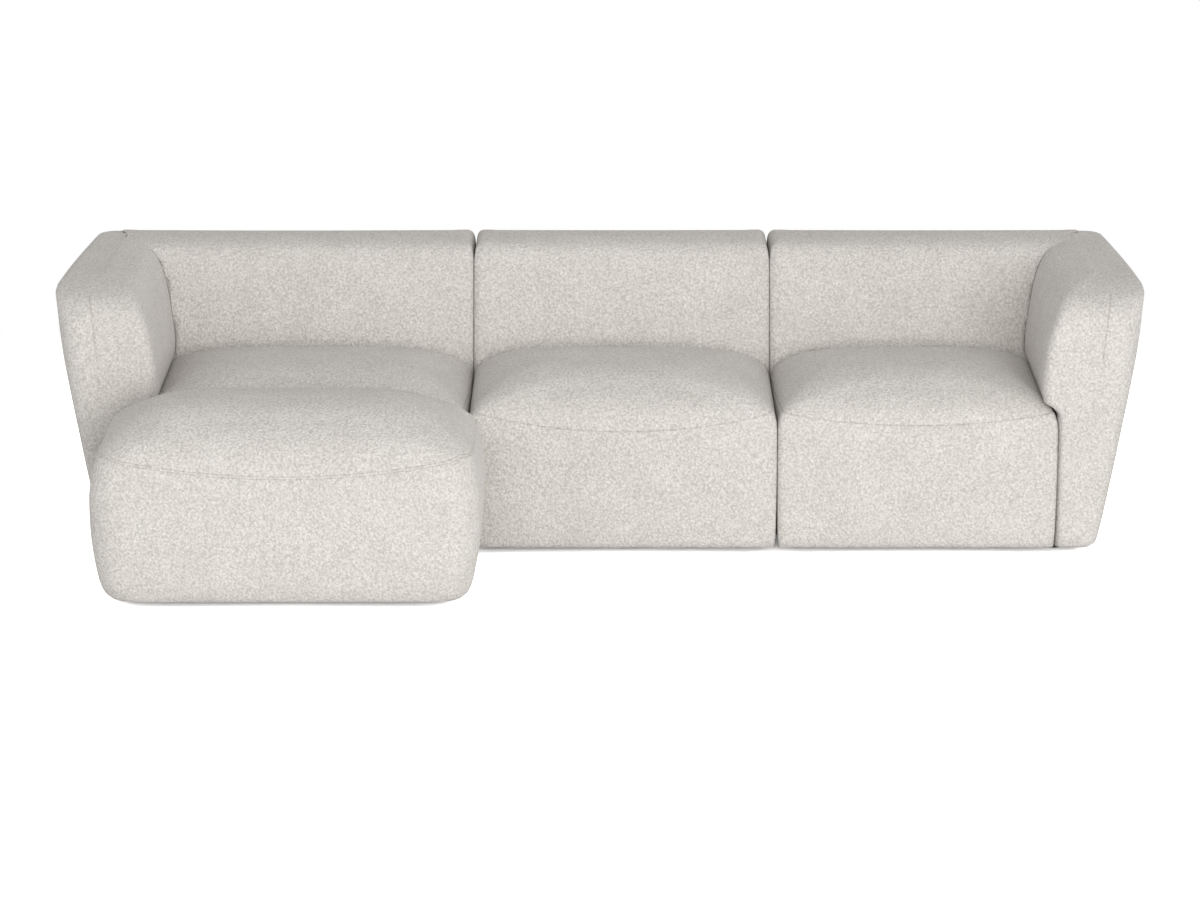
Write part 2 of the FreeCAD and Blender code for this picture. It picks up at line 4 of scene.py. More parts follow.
import bmesh
import bpy
import numpy as np
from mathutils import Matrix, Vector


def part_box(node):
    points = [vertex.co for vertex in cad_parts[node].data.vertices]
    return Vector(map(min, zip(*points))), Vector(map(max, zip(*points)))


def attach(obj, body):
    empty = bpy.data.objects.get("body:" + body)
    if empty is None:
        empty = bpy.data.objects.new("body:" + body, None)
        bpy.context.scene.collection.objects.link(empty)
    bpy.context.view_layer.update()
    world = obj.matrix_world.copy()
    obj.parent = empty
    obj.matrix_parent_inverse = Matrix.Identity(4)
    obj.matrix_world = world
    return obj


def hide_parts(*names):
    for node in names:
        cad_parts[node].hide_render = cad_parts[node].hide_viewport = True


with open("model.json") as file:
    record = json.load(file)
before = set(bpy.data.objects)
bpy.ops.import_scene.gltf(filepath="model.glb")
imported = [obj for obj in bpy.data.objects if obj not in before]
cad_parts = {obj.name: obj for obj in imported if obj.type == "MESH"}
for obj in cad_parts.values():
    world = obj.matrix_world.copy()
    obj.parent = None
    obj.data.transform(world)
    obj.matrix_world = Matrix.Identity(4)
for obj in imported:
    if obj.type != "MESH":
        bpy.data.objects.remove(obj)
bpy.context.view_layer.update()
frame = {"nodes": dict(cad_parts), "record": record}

# Modular corner sofa: sewn boucle covers over three seat modules and a loose pouf.
# All lengths are in metres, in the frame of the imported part.

MM = 0.001

# Camera, as in the photograph
PICTURE_WIDTH = 1200
FOCAL_PIXELS = 4735
SENSOR = 36.0
CAMERA_DISTANCE = 12.21
CAMERA_HEIGHT = 3.11
CAMERA_TILT = math.radians(13)
CAMERA_REACH = 200

# Light
WORLD_LIGHT = 1.08
WORLD_OVERHEAD_LOSS = 0.50
WORLD_FROM_FRONT = 0.40
WORLD_FROM_RIGHT = 0.10
FLOOR_WHITE = 0.92
FLOOR_SEEN = 3.8
FLOOR_FADE_START = 2.0
FLOOR_FADE_END = 3.4
FLOOR_REACH = 40
KEY_PLACE = (2.2, -9.4, 2.0)
KEY_AIM = (0, 0, 0.35)
KEY_SIZE = (5, 3)
KEY_POWER = 425

# Fabric
SWELL = 0.3 * MM
ARM_GAP = 1.2 * MM
FILLING_INSET = 6 * MM
FILLING_BAND = 40 * MM
MERGE_DISTANCE = 0.05 * MM
SEAM_DEPTH = 1.8 * MM
SEAM_WIDTH = 2.2 * MM
SEAM_MARGIN = 14 * MM
SEAM_STEPS = tuple(step * MM for step in (-10, -7, -5, -3.5, -2, -1, 0, 1, 2, 3.5, 5, 7, 10))
SEAM_CLEARANCE = 1.4
STITCH_GAP = 3.5 * MM
DOUBLE_SEAM_SHARE = 0.7
FAR_FROM_SEAM = 0.05
TUCK_UNDER = 45 * MM
TUCK_RINGS = ((1.0, 0.8 * MM), (0.2, 0.6 * MM))
LENGTH_DIGITS = 6

# Cloth
CLOTH_FRAMES = 20
CLOTH_QUALITY = 4
CLOTH_MASS = 0.3
CLOTH_STIFFNESS = 15
CLOTH_SHEAR = 10
CLOTH_BENDING = 1.0
CLOTH_PRESSURE = 4.0
CLOTH_FULL = 18 * MM
CLOTH_CAP = 6 * MM
DRAWN_IN = 2 * MM
CLOTH_ACROSS = 16
CLOTH_DEEP = 12
CLOTH_LEVELS = 18
CLOTH_EASING = 12
HELD_NEAR = 4 * MM
HELD_REACH = 45 * MM
SEAM_HOLD = 0.7
SEAM_HOLD_WIDTH = 22 * MM

# Boucle
DRIFT_SCALE = 90
DRIFT_DETAIL = 2
DRIFT_REACH = (0.009, 0.009, 0.009)
NUB_SCALE = 175
NUB_SMOOTHNESS = 0.4
NUB_RANDOMNESS = 1
LOOP_SCALE = 520
CLUMP_SCALE = 150
CLOUD_SCALE = 9
FIBRE_DETAIL = 3
CLUMP_SHARE = 0.8
# How much darker the colour gets away from each nub's middle: painted shade in the hollows between the nubs
NUB_SHADE_SHARE = 0.5
LOOP_SHARE = 0.45
# Light and dark ends of the colour: the yarn's own uneven tone, whose dark end is also reached as painted
# shade between the nubs
YARN_AND_NUB_SHADE_RAMP = (0.34, (0.755, 0.719, 0.681), 0.84, (0.48, 0.457, 0.432))
CLOUD_RAMP = (0.3, (0.94, 0.935, 0.93), 0.7, (1, 1, 1))
# Painted shade along the seams: how dark the colour gets in the seam crease, and the half width of that dark
# line
SEAM_SHADE_RAMP = (0.2, (0.84, 0.82, 0.80), 0.8, (1, 1, 1))
SEAM_SHADE_WIDTH = 2.6 * MM
BOUCLE_BUMP = 0.6
BOUCLE_DEPTH = 0.004
BOUCLE_ROUGHNESS = 0.95
BOUCLE_SHEEN = 0.12
BOUCLE_SHEEN_ROUGHNESS = 0.6
BOUCLE_SPECULAR = 0.12

# The other materials: dark and light colour, scale and stretch of the grain, roughness, metal, bump depth
GRAINED = {
    "timber": ((0.50, 0.34, 0.19), (0.76, 0.58, 0.38), 9, (1, 1, 14), 0.6, 0, 0.0003),
    "webbing": ((0.03, 0.03, 0.03), (0.12, 0.11, 0.10), 300, (1, 1, 1), 0.8, 0, 0.0003),
    "dust_cloth": ((0.015, 0.015, 0.015), (0.05, 0.05, 0.05), 500, (1, 1, 1), 0.9, 0, 0.0003),
    "foot_plastic": ((0.02, 0.02, 0.02), (0.05, 0.05, 0.05), 200, (1, 1, 1), 0.5, 0, 0.0003),
    "steel": ((0.45, 0.45, 0.46), (0.68, 0.68, 0.69), 60, (1, 1, 8), 0.35, 1, 0.0001),
    "foam": ((0.66, 0.60, 0.42), (0.85, 0.80, 0.62), 400, (1, 1, 1), 0.9, 0, 0.0003),
}
CAD_SLOTS = ("timber", "webbing", "dust_cloth", "foot_plastic", "steel")
GRAIN_DETAIL = 5
GRAIN_LOW = 0.32
GRAIN_HIGH = 0.68
GRAIN_BUMP = 0.5
ROUGHNESS_SPREAD = 0.08

# How many points the forms have
PROFILE_STEPS = 40
LEAST_LENGTH = 1e-9
LEAST_AREA = 1e-12
SEAT_ACROSS = 56
SEAT_DEEP = 40
SEAT_BELOW_SEAM = 20
SEAT_ABOVE_SEAM = 30
ARM_ACROSS = 26
ARM_DEEP = 44
ARM_LEVELS = 64
BACK_ACROSS = 44
BACK_DEEP = 24
BACK_LEVELS = 60

# Forms of the seats and the pouf
FABRIC_BOTTOM = 20 * MM
RIM_HEIGHT = 352 * MM
CROWN_RISE = 121 * MM
POUF_CROWN_RISE = 150 * MM
CROWN_RUN = 250 * MM
CROWN_REAR_RUN = 210 * MM
SEAT_DRAW = 20 * MM
SEAT_SIDE_DRAW = 5 * MM
SEAT_RADIUS = 10 * MM
SEAT_REAR_RADIUS = 12 * MM
POUF_DRAW = 44 * MM
POUF_END_DRAW = 40 * MM
POUF_RADIUS = 80 * MM
SEAT_SEAM_HEIGHT = 390 * MM
POUF_SEAM_HEIGHT = 402 * MM
SEAM_DIP = 50 * MM
NARROW_SEAM_DIP = 34 * MM
POUF_END_DIP = 0.2 * SEAM_DIP
TOP_CREST = 2 * MM
SEAT_HEIGHT_SHARES = (0, 0.045, 0.12, 0.205, 0.36, 0.54, 0.81, 1)
SEAT_DRAW_SHARES = (1, 0.70, 0.46, 0.33, 0.17, 0.05, 0, 0.16)
CROWN_TURN_SHARES = (0.17, 0.34, 0.5, 0.66, 0.83, 1)
CROWN_REAR_SHARES = (0.02, 0.08, 0.2, 0.42, 0.7, 1)

# Forms of the backs and arms
SWELL_HEIGHT = 382 * MM
ARM_REACH = 236 * MM
ARM_FRONT_ROUND = 290 * MM
ARM_REAR_TAPER = 34 * MM
ARM_INNER_TAPER = 15 * MM
ARM_FRONT_RADIUS = 24 * MM
ARM_REAR_RADIUS = 50 * MM
ARM_ROUNDING = 56 * MM
ARM_FULLNESS = 11 * MM
ARM_CREST = 0.6
ARM_SEAM_SHARE = 0.62
ARM_SEAM_REACH = 88 * MM
ARM_SEAM_LEAST = 0.4
ARM_SEAM_FOOT = 540 * MM
ARM_SEAM_END = 70 * MM
ARM_SEAM_FADE = 0.05
REAR_FLARE = 98 * MM
BACK_LEAN = 170 * MM
BACK_CORNER = 30 * MM
BACK_BEHIND_ARM = 12 * MM
EDGE_RADIUS = 11 * MM
LOWER_HEIGHT_SHARES = (0, 0.038, 0.108, 0.35, 1)
UPPER_HEIGHT_SHARES = (0.105, 0.244, 0.398, 0.552, 0.682, 0.784, 0.867, 0.929, 0.969, 0.991, 1)
ARM_OUTER_SHARES = (0.415, 0.462, 0.496, 0.576, 0.771, 0.80, 0.835, 0.87, 0.90, 0.925, 0.945, 0.965, 0.985,
                    0.975, 0.93, 0.86)
ARM_INNER_SHARES = (0, 0, 0, 0, 0, -0.161, -0.174, -0.161, -0.131, -0.085, -0.034, 0.025, 0.10, 0.20,
                    0.34, 0.48)
ARM_INNER_TAPER_SHARES = (0, 0, 0, 0, 0, 0.33, 0.55, 0.87, 1, 0.8, 0.67, 0.53, 0.27, 0, 0, 0)
ARM_ROUNDING_SHARES = (0.1, 0.1, 0.15, 0.2, 0.3, 0.4, 0.5, 0.6, 0.7, 0.8, 0.9, 1, 1, 1, 1, 1)
ARM_FRONT_SHARES = (0.076, 0.024, 0.01, 0, 0, 0, 0, 0, 0.007, 0.024, 0.062, 0.145, 0.276, 0.483, 0.69, 1)
REAR_FLARE_SHARES = (0, 0.03, 0.08, 0.235, 0.61, 0.66, 0.73, 0.81, 0.90, 0.97, 1, 0.97, 0.88, 0.70, 0.48, 0.2)
BACK_LEAN_SHARES = (0, 0, 0, 0, 0, 0.045, 0.115, 0.195, 0.275, 0.345, 0.41, 0.47, 0.54, 0.64, 0.78, 1)
BACK_CORNER_SHARES = (0, 0, 0, 0, 0, 0, 0, 0, 0, 0, 0, 0.03, 0.13, 0.34, 0.62, 1)
WIDEST_RADIUS_SHARE = 0.42


# Every material by its name
looks = {}


def smooth(points):
    """Points of a smooth curve through rows of points that never swings past them."""
    points = np.asarray(points, float)
    moves = np.diff(points, axis=0)
    gaps = np.sqrt(np.linalg.norm(moves, axis=1))[:, None]
    slopes = moves / gaps
    inner = (slopes[:-1] * gaps[1:] + slopes[1:] * gaps[:-1]) / (gaps[:-1] + gaps[1:])
    steepest = 3 * np.minimum(np.abs(slopes[:-1]), np.abs(slopes[1:]))
    inner = np.where(slopes[:-1] * slopes[1:] > 0, np.clip(inner, -steepest, steepest), 0)
    first = (3 * slopes[:1] - inner[:1]) / 2
    last = (3 * slopes[-1:] - inner[-1:]) / 2
    slopes = np.vstack([first, inner, last])[:, None]
    t = (np.arange(PROFILE_STEPS) / PROFILE_STEPS)[:, None]
    gaps = gaps[:, None]
    curve = (points[:-1, None] + (3 - 2 * t) * t * t * moves[:, None]
             + t * (1 - t) * gaps * ((1 - t) * slopes[:-1] - t * slopes[1:]))
    return np.vstack([curve.reshape(-1, points.shape[1]), points[-1:]])


def side_fractions(across, deep):
    """The fractions along each side of a ring: front, high X, rear and low X."""
    return across, deep, 1 - across[::-1], 1 - deep[::-1]


def outline(row, across, deep):
    """Points round one row, a list for each side, from the front low-X corner by way of high X.
    A row holds low x, high x, front, rear, four corner radii and how far its rear corners draw in."""
    low_x, high_x, front, rear = row[:4]
    rear_low_x, rear_high_x = low_x + row[8], high_x - row[9]
    corners = np.array([(low_x, front), (high_x, front), (rear_high_x, rear), (rear_low_x, rear)])
    widest = WIDEST_RADIUS_SHARE * min(rear_high_x - rear_low_x, rear - front)
    arcs = []
    for place in range(4):
        back = corners[place - 1] - corners[place]
        ahead = corners[(place + 1) % 4] - corners[place]
        back /= np.linalg.norm(back)
        ahead /= np.linalg.norm(ahead)
        half = math.acos(np.clip(back @ ahead, -1, 1)) / 2
        radius = min(row[4 + place], widest)
        inward = (back + ahead) / np.linalg.norm(back + ahead)
        centre = corners[place] + inward * radius / math.sin(half)
        arcs.append((centre, radius, math.atan2(-inward[1], -inward[0]), math.pi / 2 - half))
    sides = []
    for side, fractions_along in enumerate(side_fractions(across, deep)):
        centre0, radius0, heading0, sweep0 = arcs[side]
        centre1, radius1, heading1, sweep1 = arcs[(side + 1) % 4]
        leave = centre0 + radius0 * np.array([math.cos(heading0 + sweep0), math.sin(heading0 + sweep0)])
        meet = centre1 + radius1 * np.array([math.cos(heading1 - sweep1), math.sin(heading1 - sweep1)])
        straight = np.linalg.norm(meet - leave)
        marks = np.cumsum([0, radius0 * sweep0, straight, radius1 * sweep1])
        along = fractions_along * marks[-1]
        turn0 = heading0 + along / radius0
        turn1 = heading1 - sweep1 + (along - marks[2]) / radius1
        run = ((along - marks[1]) / max(straight, LEAST_LENGTH))[:, None]
        arc0 = centre0 + radius0 * np.stack([np.cos(turn0), np.sin(turn0)], 1)
        arc1 = centre1 + radius1 * np.stack([np.cos(turn1), np.sin(turn1)], 1)
        line = leave + run * (meet - leave)
        first = (along < marks[1])[:, None]
        third = (along > marks[2])[:, None]
        sides.append(np.where(first, arc0, np.where(third, arc1, line)))
    return sides


def fractions(count, near=None, width=1.0):
    """Fractions from 0 to 1, with close ones beside a seam at a fraction of a side of some width."""
    even = np.linspace(0, 1, count + 1)
    if near is None:
        return even
    close = near + np.array(SEAM_STEPS) / width
    keep = np.abs(even - near) > SEAM_CLEARANCE * SEAM_STEPS[-1] / width
    return np.sort(np.concatenate([even[keep], close]))


class Form:
    """A closed soft form: rings of points up its sides and a grid of points over its top."""

    def __init__(self, heights, rows, across, deep, crest=0.0):
        self.across = np.asarray(across)
        self.deep = np.asarray(deep)
        self.nx = len(across) - 1
        self.ny = len(deep) - 1
        self.count = 2 * (self.nx + self.ny)
        self.crest = crest
        self.upright = None
        rows = np.hstack([np.asarray(heights)[:, None], np.asarray(rows)])
        self.table = smooth(rows)
        steps = np.linalg.norm(np.diff(self.table[:, [0, 2, 3]], axis=0), axis=1)
        self.length = np.concatenate([[0], np.cumsum(steps)])

    def length_at(self, height):
        """The length up the profile at which a height is reached."""
        return np.interp(height, self.table[:, 0], self.length)

    def side_places(self):
        """For each point of a ring: its side, and its place along that side from -1 to 1."""
        sides = np.repeat([0, 1, 2, 3], [self.nx, self.ny, self.nx, self.ny])
        places = np.concatenate([side[:-1] for side in side_fractions(self.across, self.deep)])
        return sides, places

    def shares_across(self):
        """For each point: its fraction of the way from the low X side to the high X side."""
        front, rear = self.across[:-1], self.across[:0:-1]
        ring = np.concatenate([front, np.ones(self.ny), rear, np.zeros(self.ny)])
        top = np.repeat(self.across[1:-1], self.ny - 1)
        return np.concatenate([np.tile(ring, len(self.rings)), top])

    def across_at(self, row):
        """The fractions across one row, where an upright seam keeps its distance from the high X side."""
        if self.upright is None:
            return self.across
        share, reach = self.upright
        place = max(1 - reach / (row[2] - row[1]), ARM_SEAM_LEAST)
        before = self.across * place / share
        after = 1 - (1 - self.across) * (1 - place) / (1 - share)
        return np.where(self.across < share, before, after)

    def ring_at(self, lengths):
        """The points of one ring, whose length up the profile may differ from point to point."""
        lengths = np.round(np.broadcast_to(lengths, (self.count,)), LENGTH_DIGITS)
        points = np.empty((self.count, 3))
        for length in np.unique(lengths):
            row = np.array([np.interp(length, self.length, column) for column in self.table.T])
            ring = np.vstack([side[:-1] for side in outline(row[1:], self.across_at(row), self.deep)])
            mask = lengths == length
            points[mask, :2] = ring[mask]
            points[mask, 2] = row[0]
        return points

    def raise_plain(self, levels):
        """Builds the rings evenly up the profile."""
        shares = np.linspace(0, 1, levels + 1)
        self.rings = np.array([self.ring_at(share * self.length[-1]) for share in shares])
        self.offsets = np.full(self.rings.shape[:2], FAR_FROM_SEAM)
        self.top = self.cap()

    def raise_seamed(self, corners, dips):
        """Builds the rings so that some follow a seam, which has a height at each corner and dips between."""
        sides, places = self.side_places()
        corners = np.asarray(corners)
        ends = corners[sides] * (1 - places) + corners[(sides + 1) % 4] * places
        path = self.length_at(ends - 4 * np.asarray(dips)[sides] * places * (1 - places))
        levels = [share * (path - SEAM_MARGIN) for share in np.linspace(0, 1, SEAT_BELOW_SEAM + 1)]
        levels += [path + step for step in SEAM_STEPS]
        rest = self.length[-1] - path - SEAM_MARGIN
        levels += [path + SEAM_MARGIN + share * rest for share in np.linspace(0, 1, SEAT_ABOVE_SEAM + 1)]
        self.rings = np.array([self.ring_at(level) for level in levels])
        self.offsets = np.clip(np.array(levels) - path, -FAR_FROM_SEAM, FAR_FROM_SEAM)
        self.top = self.cap()

    def fill_out(self, most, start):
        """Fills out the high X side above a height, most of all halfway along and at the top."""
        low, high = self.points().min(0), self.points().max(0)
        for points in (self.rings, self.top):
            aside, along, _ = np.moveaxis((points - low) / (high - low), -1, 0)
            aside = np.clip((aside - ARM_CREST) / (1 - ARM_CREST), 0, 1)
            up = np.clip((points[..., 2] - start) / (high[2] - start), 0, 1)
            points[..., 0] += most * 4 * along * (1 - along) * up * up * (3 - 2 * up) * aside

    def cap(self):
        """A grid over the top whose edge is the last ring, raised a little to its middle."""
        nx, ny = self.nx, self.ny
        closed = np.vstack([self.rings[-1], self.rings[-1][:1]])
        front, right = closed[:nx + 1], closed[nx:nx + ny + 1]
        rear, left = closed[nx + ny:2 * nx + ny + 1][::-1], closed[2 * nx + ny:][::-1]
        s = self.across[:, None, None]
        t = self.deep[None, :, None]
        grid = (1 - t) * front[:, None] + t * rear[:, None] + (1 - s) * left[None] + s * right[None]
        grid = grid - (1 - s) * (1 - t) * front[0] - s * (1 - t) * front[-1]
        grid = grid - (1 - s) * t * rear[0] - s * t * rear[-1]
        dome = (1 - (2 * s - 1) ** 2) * (1 - (2 * t - 1) ** 2)
        grid[..., 2] += self.crest * dome[..., 0]
        return grid

    def points(self):
        """Every point: the rings, then the inside of the top grid."""
        return np.vstack([self.rings.reshape(-1, 3), self.top[1:-1, 1:-1].reshape(-1, 3)])

    def top_index(self):
        """The number of the point at each place of the top grid."""
        nx, ny = self.nx, self.ny
        around = np.arange(self.count + 1) % self.count + (len(self.rings) - 1) * self.count
        index = np.zeros((nx + 1, ny + 1), int)
        index[:, 0] = around[:nx + 1]
        index[nx, :] = around[nx:nx + ny + 1]
        index[:, ny] = around[nx + ny:2 * nx + ny + 1][::-1]
        index[0, :] = around[2 * nx + ny:][::-1]
        inside = np.arange((nx - 1) * (ny - 1)).reshape(nx - 1, ny - 1)
        index[1:-1, 1:-1] = len(self.rings) * self.count + inside
        return index

    def faces(self):
        """The four-sided faces of the sides and the top, as an array of point numbers."""
        around = np.arange(self.count)
        after = (around + 1) % self.count
        low = np.arange(len(self.rings) - 1)[:, None] * self.count
        high = low + self.count
        sides = np.stack([low + around, low + after, high + after, high + around], -1).reshape(-1, 4)
        grid = self.top_index()
        top = np.stack([grid[:-1, :-1], grid[1:, :-1], grid[1:, 1:], grid[:-1, 1:]], -1).reshape(-1, 4)
        return np.vstack([sides, top])


def stopped(points, heights, arm):
    """Points kept on the near side of an arm's inner face and round rear corner, which its rows give."""
    table = smooth(np.hstack([np.asarray(heights)[:, None], arm]))
    low_x, front, rear, radius, taper = (np.interp(points[:, 2], table[:, 0], table[:, column])
                                         for column in (1, 3, 4, 8, 9))
    into_corner = np.clip(points[:, 1] - rear + radius, 0, radius)
    round_corner = radius - np.sqrt(radius ** 2 - into_corner ** 2)
    limit = low_x + taper * (points[:, 1] - front) / (rear - front) + round_corner - ARM_GAP
    return np.column_stack([np.minimum(points[:, 0], limit), points[:, 1:]])


def normals_of(points, faces):
    """A unit normal for each point, averaged over its faces."""
    a, b, c, d = (points[faces[:, side]] for side in range(4))
    flat = np.cross(c - a, d - b)
    normals = np.zeros_like(points)
    for side in range(4):
        np.add.at(normals, faces[:, side], flat)
    return normals / np.maximum(np.linalg.norm(normals, axis=1), LEAST_AREA)[:, None]


def mesh_object(name, points, faces):
    """A smooth-shaded mesh in the scene."""
    mesh = bpy.data.meshes.new(name)
    mesh.from_pydata(points.tolist(), [], faces.tolist())
    mesh.polygons.foreach_set("use_smooth", np.ones(len(mesh.polygons), bool))
    mesh.update()
    piece = bpy.data.objects.new(name, mesh)
    bpy.context.scene.collection.objects.link(piece)
    return piece


def tucked(points, faces, count, centre):
    """Adds the lower edge turned under: two more rings, drawn in below the first."""
    edge = points[:count]
    away = edge[:, :2] - centre
    away /= np.linalg.norm(away, axis=1)[:, None]
    rings = []
    for share, drop in TUCK_RINGS:
        ring = edge.copy()
        ring[:, :2] -= away * TUCK_UNDER * share
        ring[:, 2] -= drop
        rings.append(ring)
    around = np.arange(count)
    after = (around + 1) % count
    low = np.arange(len(rings))[:, None] * count
    high = low + count
    turned = np.stack([low + around, low + after, high + after, high + around], -1).reshape(-1, 4)
    return np.vstack(rings + [points]), np.vstack([turned, faces + len(rings) * count])


def eased(values, faces, rounds):
    """Values of points averaged with those of their neighbours, some rounds over."""
    count = np.bincount(faces.ravel(), minlength=len(values))[:, None]
    for _ in range(rounds):
        means = values[faces].mean(1)
        total = np.zeros_like(values)
        for side in range(4):
            np.add.at(total, faces[:, side], means)
        values = total / np.maximum(count, 1)
    return values


def between(places, count):
    """For each of a row of points, the two kept ones beside it and the share of the second."""
    spots = np.interp(np.arange(count), places, np.arange(len(places)))
    low = np.minimum(spots.astype(int), len(places) - 2)
    return low, low + 1, (spots - low)[:, None]


def held(form, *distances):
    """How firmly each point is held, by its distances from neighbours and from the stapled lower edge."""
    foot = form.points()[:, 2] - FABRIC_BOTTOM
    share = np.clip((np.minimum.reduce([foot, *distances]) - HELD_NEAR) / HELD_REACH, 0, 1)
    return 1 - share * share * (3 - 2 * share)


def blown_up(points, faces, weights):
    """Where the points of a mesh go when it is blown up as cloth, the first of them held by weights."""
    piece = mesh_object("cloth", points, faces)
    pins = piece.vertex_groups.new(name="held")
    for number, weight in enumerate(weights):
        pins.add([number], float(weight), "REPLACE")
    cloth = piece.modifiers.new("cloth", "CLOTH")
    cloth.settings.quality = CLOTH_QUALITY
    cloth.settings.mass = CLOTH_MASS
    cloth.settings.tension_stiffness = CLOTH_STIFFNESS
    cloth.settings.compression_stiffness = CLOTH_STIFFNESS
    cloth.settings.shear_stiffness = CLOTH_SHEAR
    cloth.settings.bending_stiffness = CLOTH_BENDING
    cloth.settings.use_pressure = True
    cloth.settings.uniform_pressure_force = CLOTH_PRESSURE
    cloth.settings.vertex_group_mass = "held"
    cloth.settings.effector_weights.gravity = 0
    cloth.point_cache.frame_end = CLOTH_FRAMES
    scene = bpy.context.scene
    for step in range(1, CLOTH_FRAMES + 1):
        scene.frame_set(step)
    worn = piece.evaluated_get(bpy.context.evaluated_depsgraph_get())
    places = np.empty(3 * len(worn.data.vertices), np.float32)
    worn.data.vertices.foreach_get("co", places)
    bpy.data.meshes.remove(piece.data)
    scene.frame_set(1)
    return places.reshape(-1, 3)


def puffed(form, hold):
    """How far out each point moves when the cover is blown up: a cloth simulation on fewer points."""
    points, faces = form.points(), form.faces()
    across = np.unique(np.round(np.linspace(0, form.nx, CLOTH_ACROSS + 1)).astype(int))
    deep = np.unique(np.round(np.linspace(0, form.ny, CLOTH_DEEP + 1)).astype(int))
    levels = np.unique(np.round(np.linspace(0, len(form.rings) - 1, CLOTH_LEVELS + 1)).astype(int))
    around = np.concatenate([across[:-1], form.nx + deep[:-1], 2 * form.nx + form.ny - across[:0:-1],
                             form.count - deep[:0:-1]])
    coarse = Form.__new__(Form)
    coarse.nx, coarse.ny, coarse.count = len(across) - 1, len(deep) - 1, len(around)
    coarse.rings = form.rings[levels][:, around]
    coarse.top = form.top[across][:, deep]
    kept = hold[:form.rings[..., 0].size].reshape(len(form.rings), -1)[levels][:, around]
    moved = blown_up(coarse.points(), coarse.faces(), kept.ravel()) - coarse.points()
    out = eased(spread_out(form, coarse, levels, around, across, deep, moved), faces, CLOTH_EASING)
    out = (out * normals_of(points, faces)).sum(1)
    out *= min(1, CLOTH_FULL / np.abs(out).max())
    cap = np.where(out > 0, CLOTH_CAP, DRAWN_IN)
    return cap * np.tanh(out / cap)


def spread_out(form, coarse, levels, around, across, deep, moved):
    """The moves of the kept points carried to every point of a form."""
    rings = moved[:coarse.rings[..., 0].size].reshape(len(levels), len(around), 3)
    closed = np.concatenate([rings, rings[:, :1]], 1)
    low, high, share = between(np.append(around, form.count), form.count)
    rows = closed[:, low] * (1 - share) + closed[:, high] * share
    low, high, share = between(levels, len(form.rings))
    share = share[:, None]
    sides = rows[low] * (1 - share) + rows[high] * share
    top = moved[coarse.top_index()]
    low, high, share = between(across, form.nx + 1)
    share = share[:, None]
    rows = top[low] * (1 - share) + top[high] * share
    low, high, share = between(deep, form.ny + 1)
    grid = rows[:, low] * (1 - share) + rows[:, high] * share
    return np.vstack([sides.reshape(-1, 3), grid[1:-1, 1:-1].reshape(-1, 3)])


def cushion(name, form, body, node, hold, double=False, offsets=None, flip=False, beside=None):
    """The sewn cover of one form, blown up a little, with its seams drawn in and its edge turned under."""
    points = form.points()
    faces = form.faces()
    if offsets is None:
        top = np.full(len(points) - form.offsets.size, FAR_FROM_SEAM)
        offsets = np.concatenate([form.offsets.ravel(), top])
    sink = SEAM_DEPTH * np.exp(-(offsets / SEAM_WIDTH) ** 2)
    if double:
        sink = DOUBLE_SEAM_SHARE * SEAM_DEPTH * (np.exp(-((offsets - STITCH_GAP) / SEAM_WIDTH) ** 2)
                                                 + np.exp(-((offsets + STITCH_GAP) / SEAM_WIDTH) ** 2))
    puff = puffed(form, hold)
    puff *= 1 - SEAM_HOLD * np.exp(-(offsets / SEAM_HOLD_WIDTH) ** 2)
    points = points + normals_of(points, faces) * ((puff - DRAWN_IN) * (1 - hold) + SWELL - sink)[:, None]
    if beside is not None:
        points = stopped(points, *beside)
    points, faces = tucked(points, faces, form.count, points[:form.count, :2].mean(0))
    if flip:
        points = points * np.array([-1, 1, 1])
        faces = faces[:, ::-1]
    piece = mesh_object(name, points, faces)
    across_seam = piece.data.attributes.new("across_seam", "FLOAT", "POINT")
    extra = np.full(len(TUCK_RINGS) * form.count, FAR_FROM_SEAM)
    across_seam.data.foreach_set("value", np.concatenate([extra, offsets]).astype(np.float32))
    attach(piece, body)
    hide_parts(node)
    piece.data.materials.append(looks["double_seamed_boucle" if double else "boucle"])


def filling(node, body):
    """The foam in a cover, in the form of its solid, drawn in a little towards its middle at each height."""
    piece = bpy.data.objects.new(node.replace("foam", "filling").replace("topper", "wadding"),
                                 frame["nodes"][node].data.copy())
    piece.matrix_world = frame["nodes"][node].matrix_world.copy()
    bpy.context.scene.collection.objects.link(piece)
    shape = bmesh.new()
    shape.from_mesh(piece.data)
    bmesh.ops.remove_doubles(shape, verts=shape.verts, dist=MERGE_DISTANCE)
    shape.normal_update()
    places = np.array([vertex.co for vertex in shape.verts])
    levels = [places[np.abs(places[:, 2] - height) < FILLING_BAND] for height in places[:, 2]]
    middle = np.array([(level.min(0) + level.max(0)) / 2 for level in levels])
    middle[:, 2] = (places[:, 2].min() + places[:, 2].max()) / 2
    moves = FILLING_INSET * np.abs([vertex.normal for vertex in shape.verts])
    for vertex, place in zip(shape.verts, places + moves * np.sign(middle - places)):
        vertex.co = place
    shape.to_mesh(piece.data)
    shape.free()
    piece.data.materials.clear()
    piece.data.materials.append(looks["foam"])
    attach(piece, body)
    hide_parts(node)


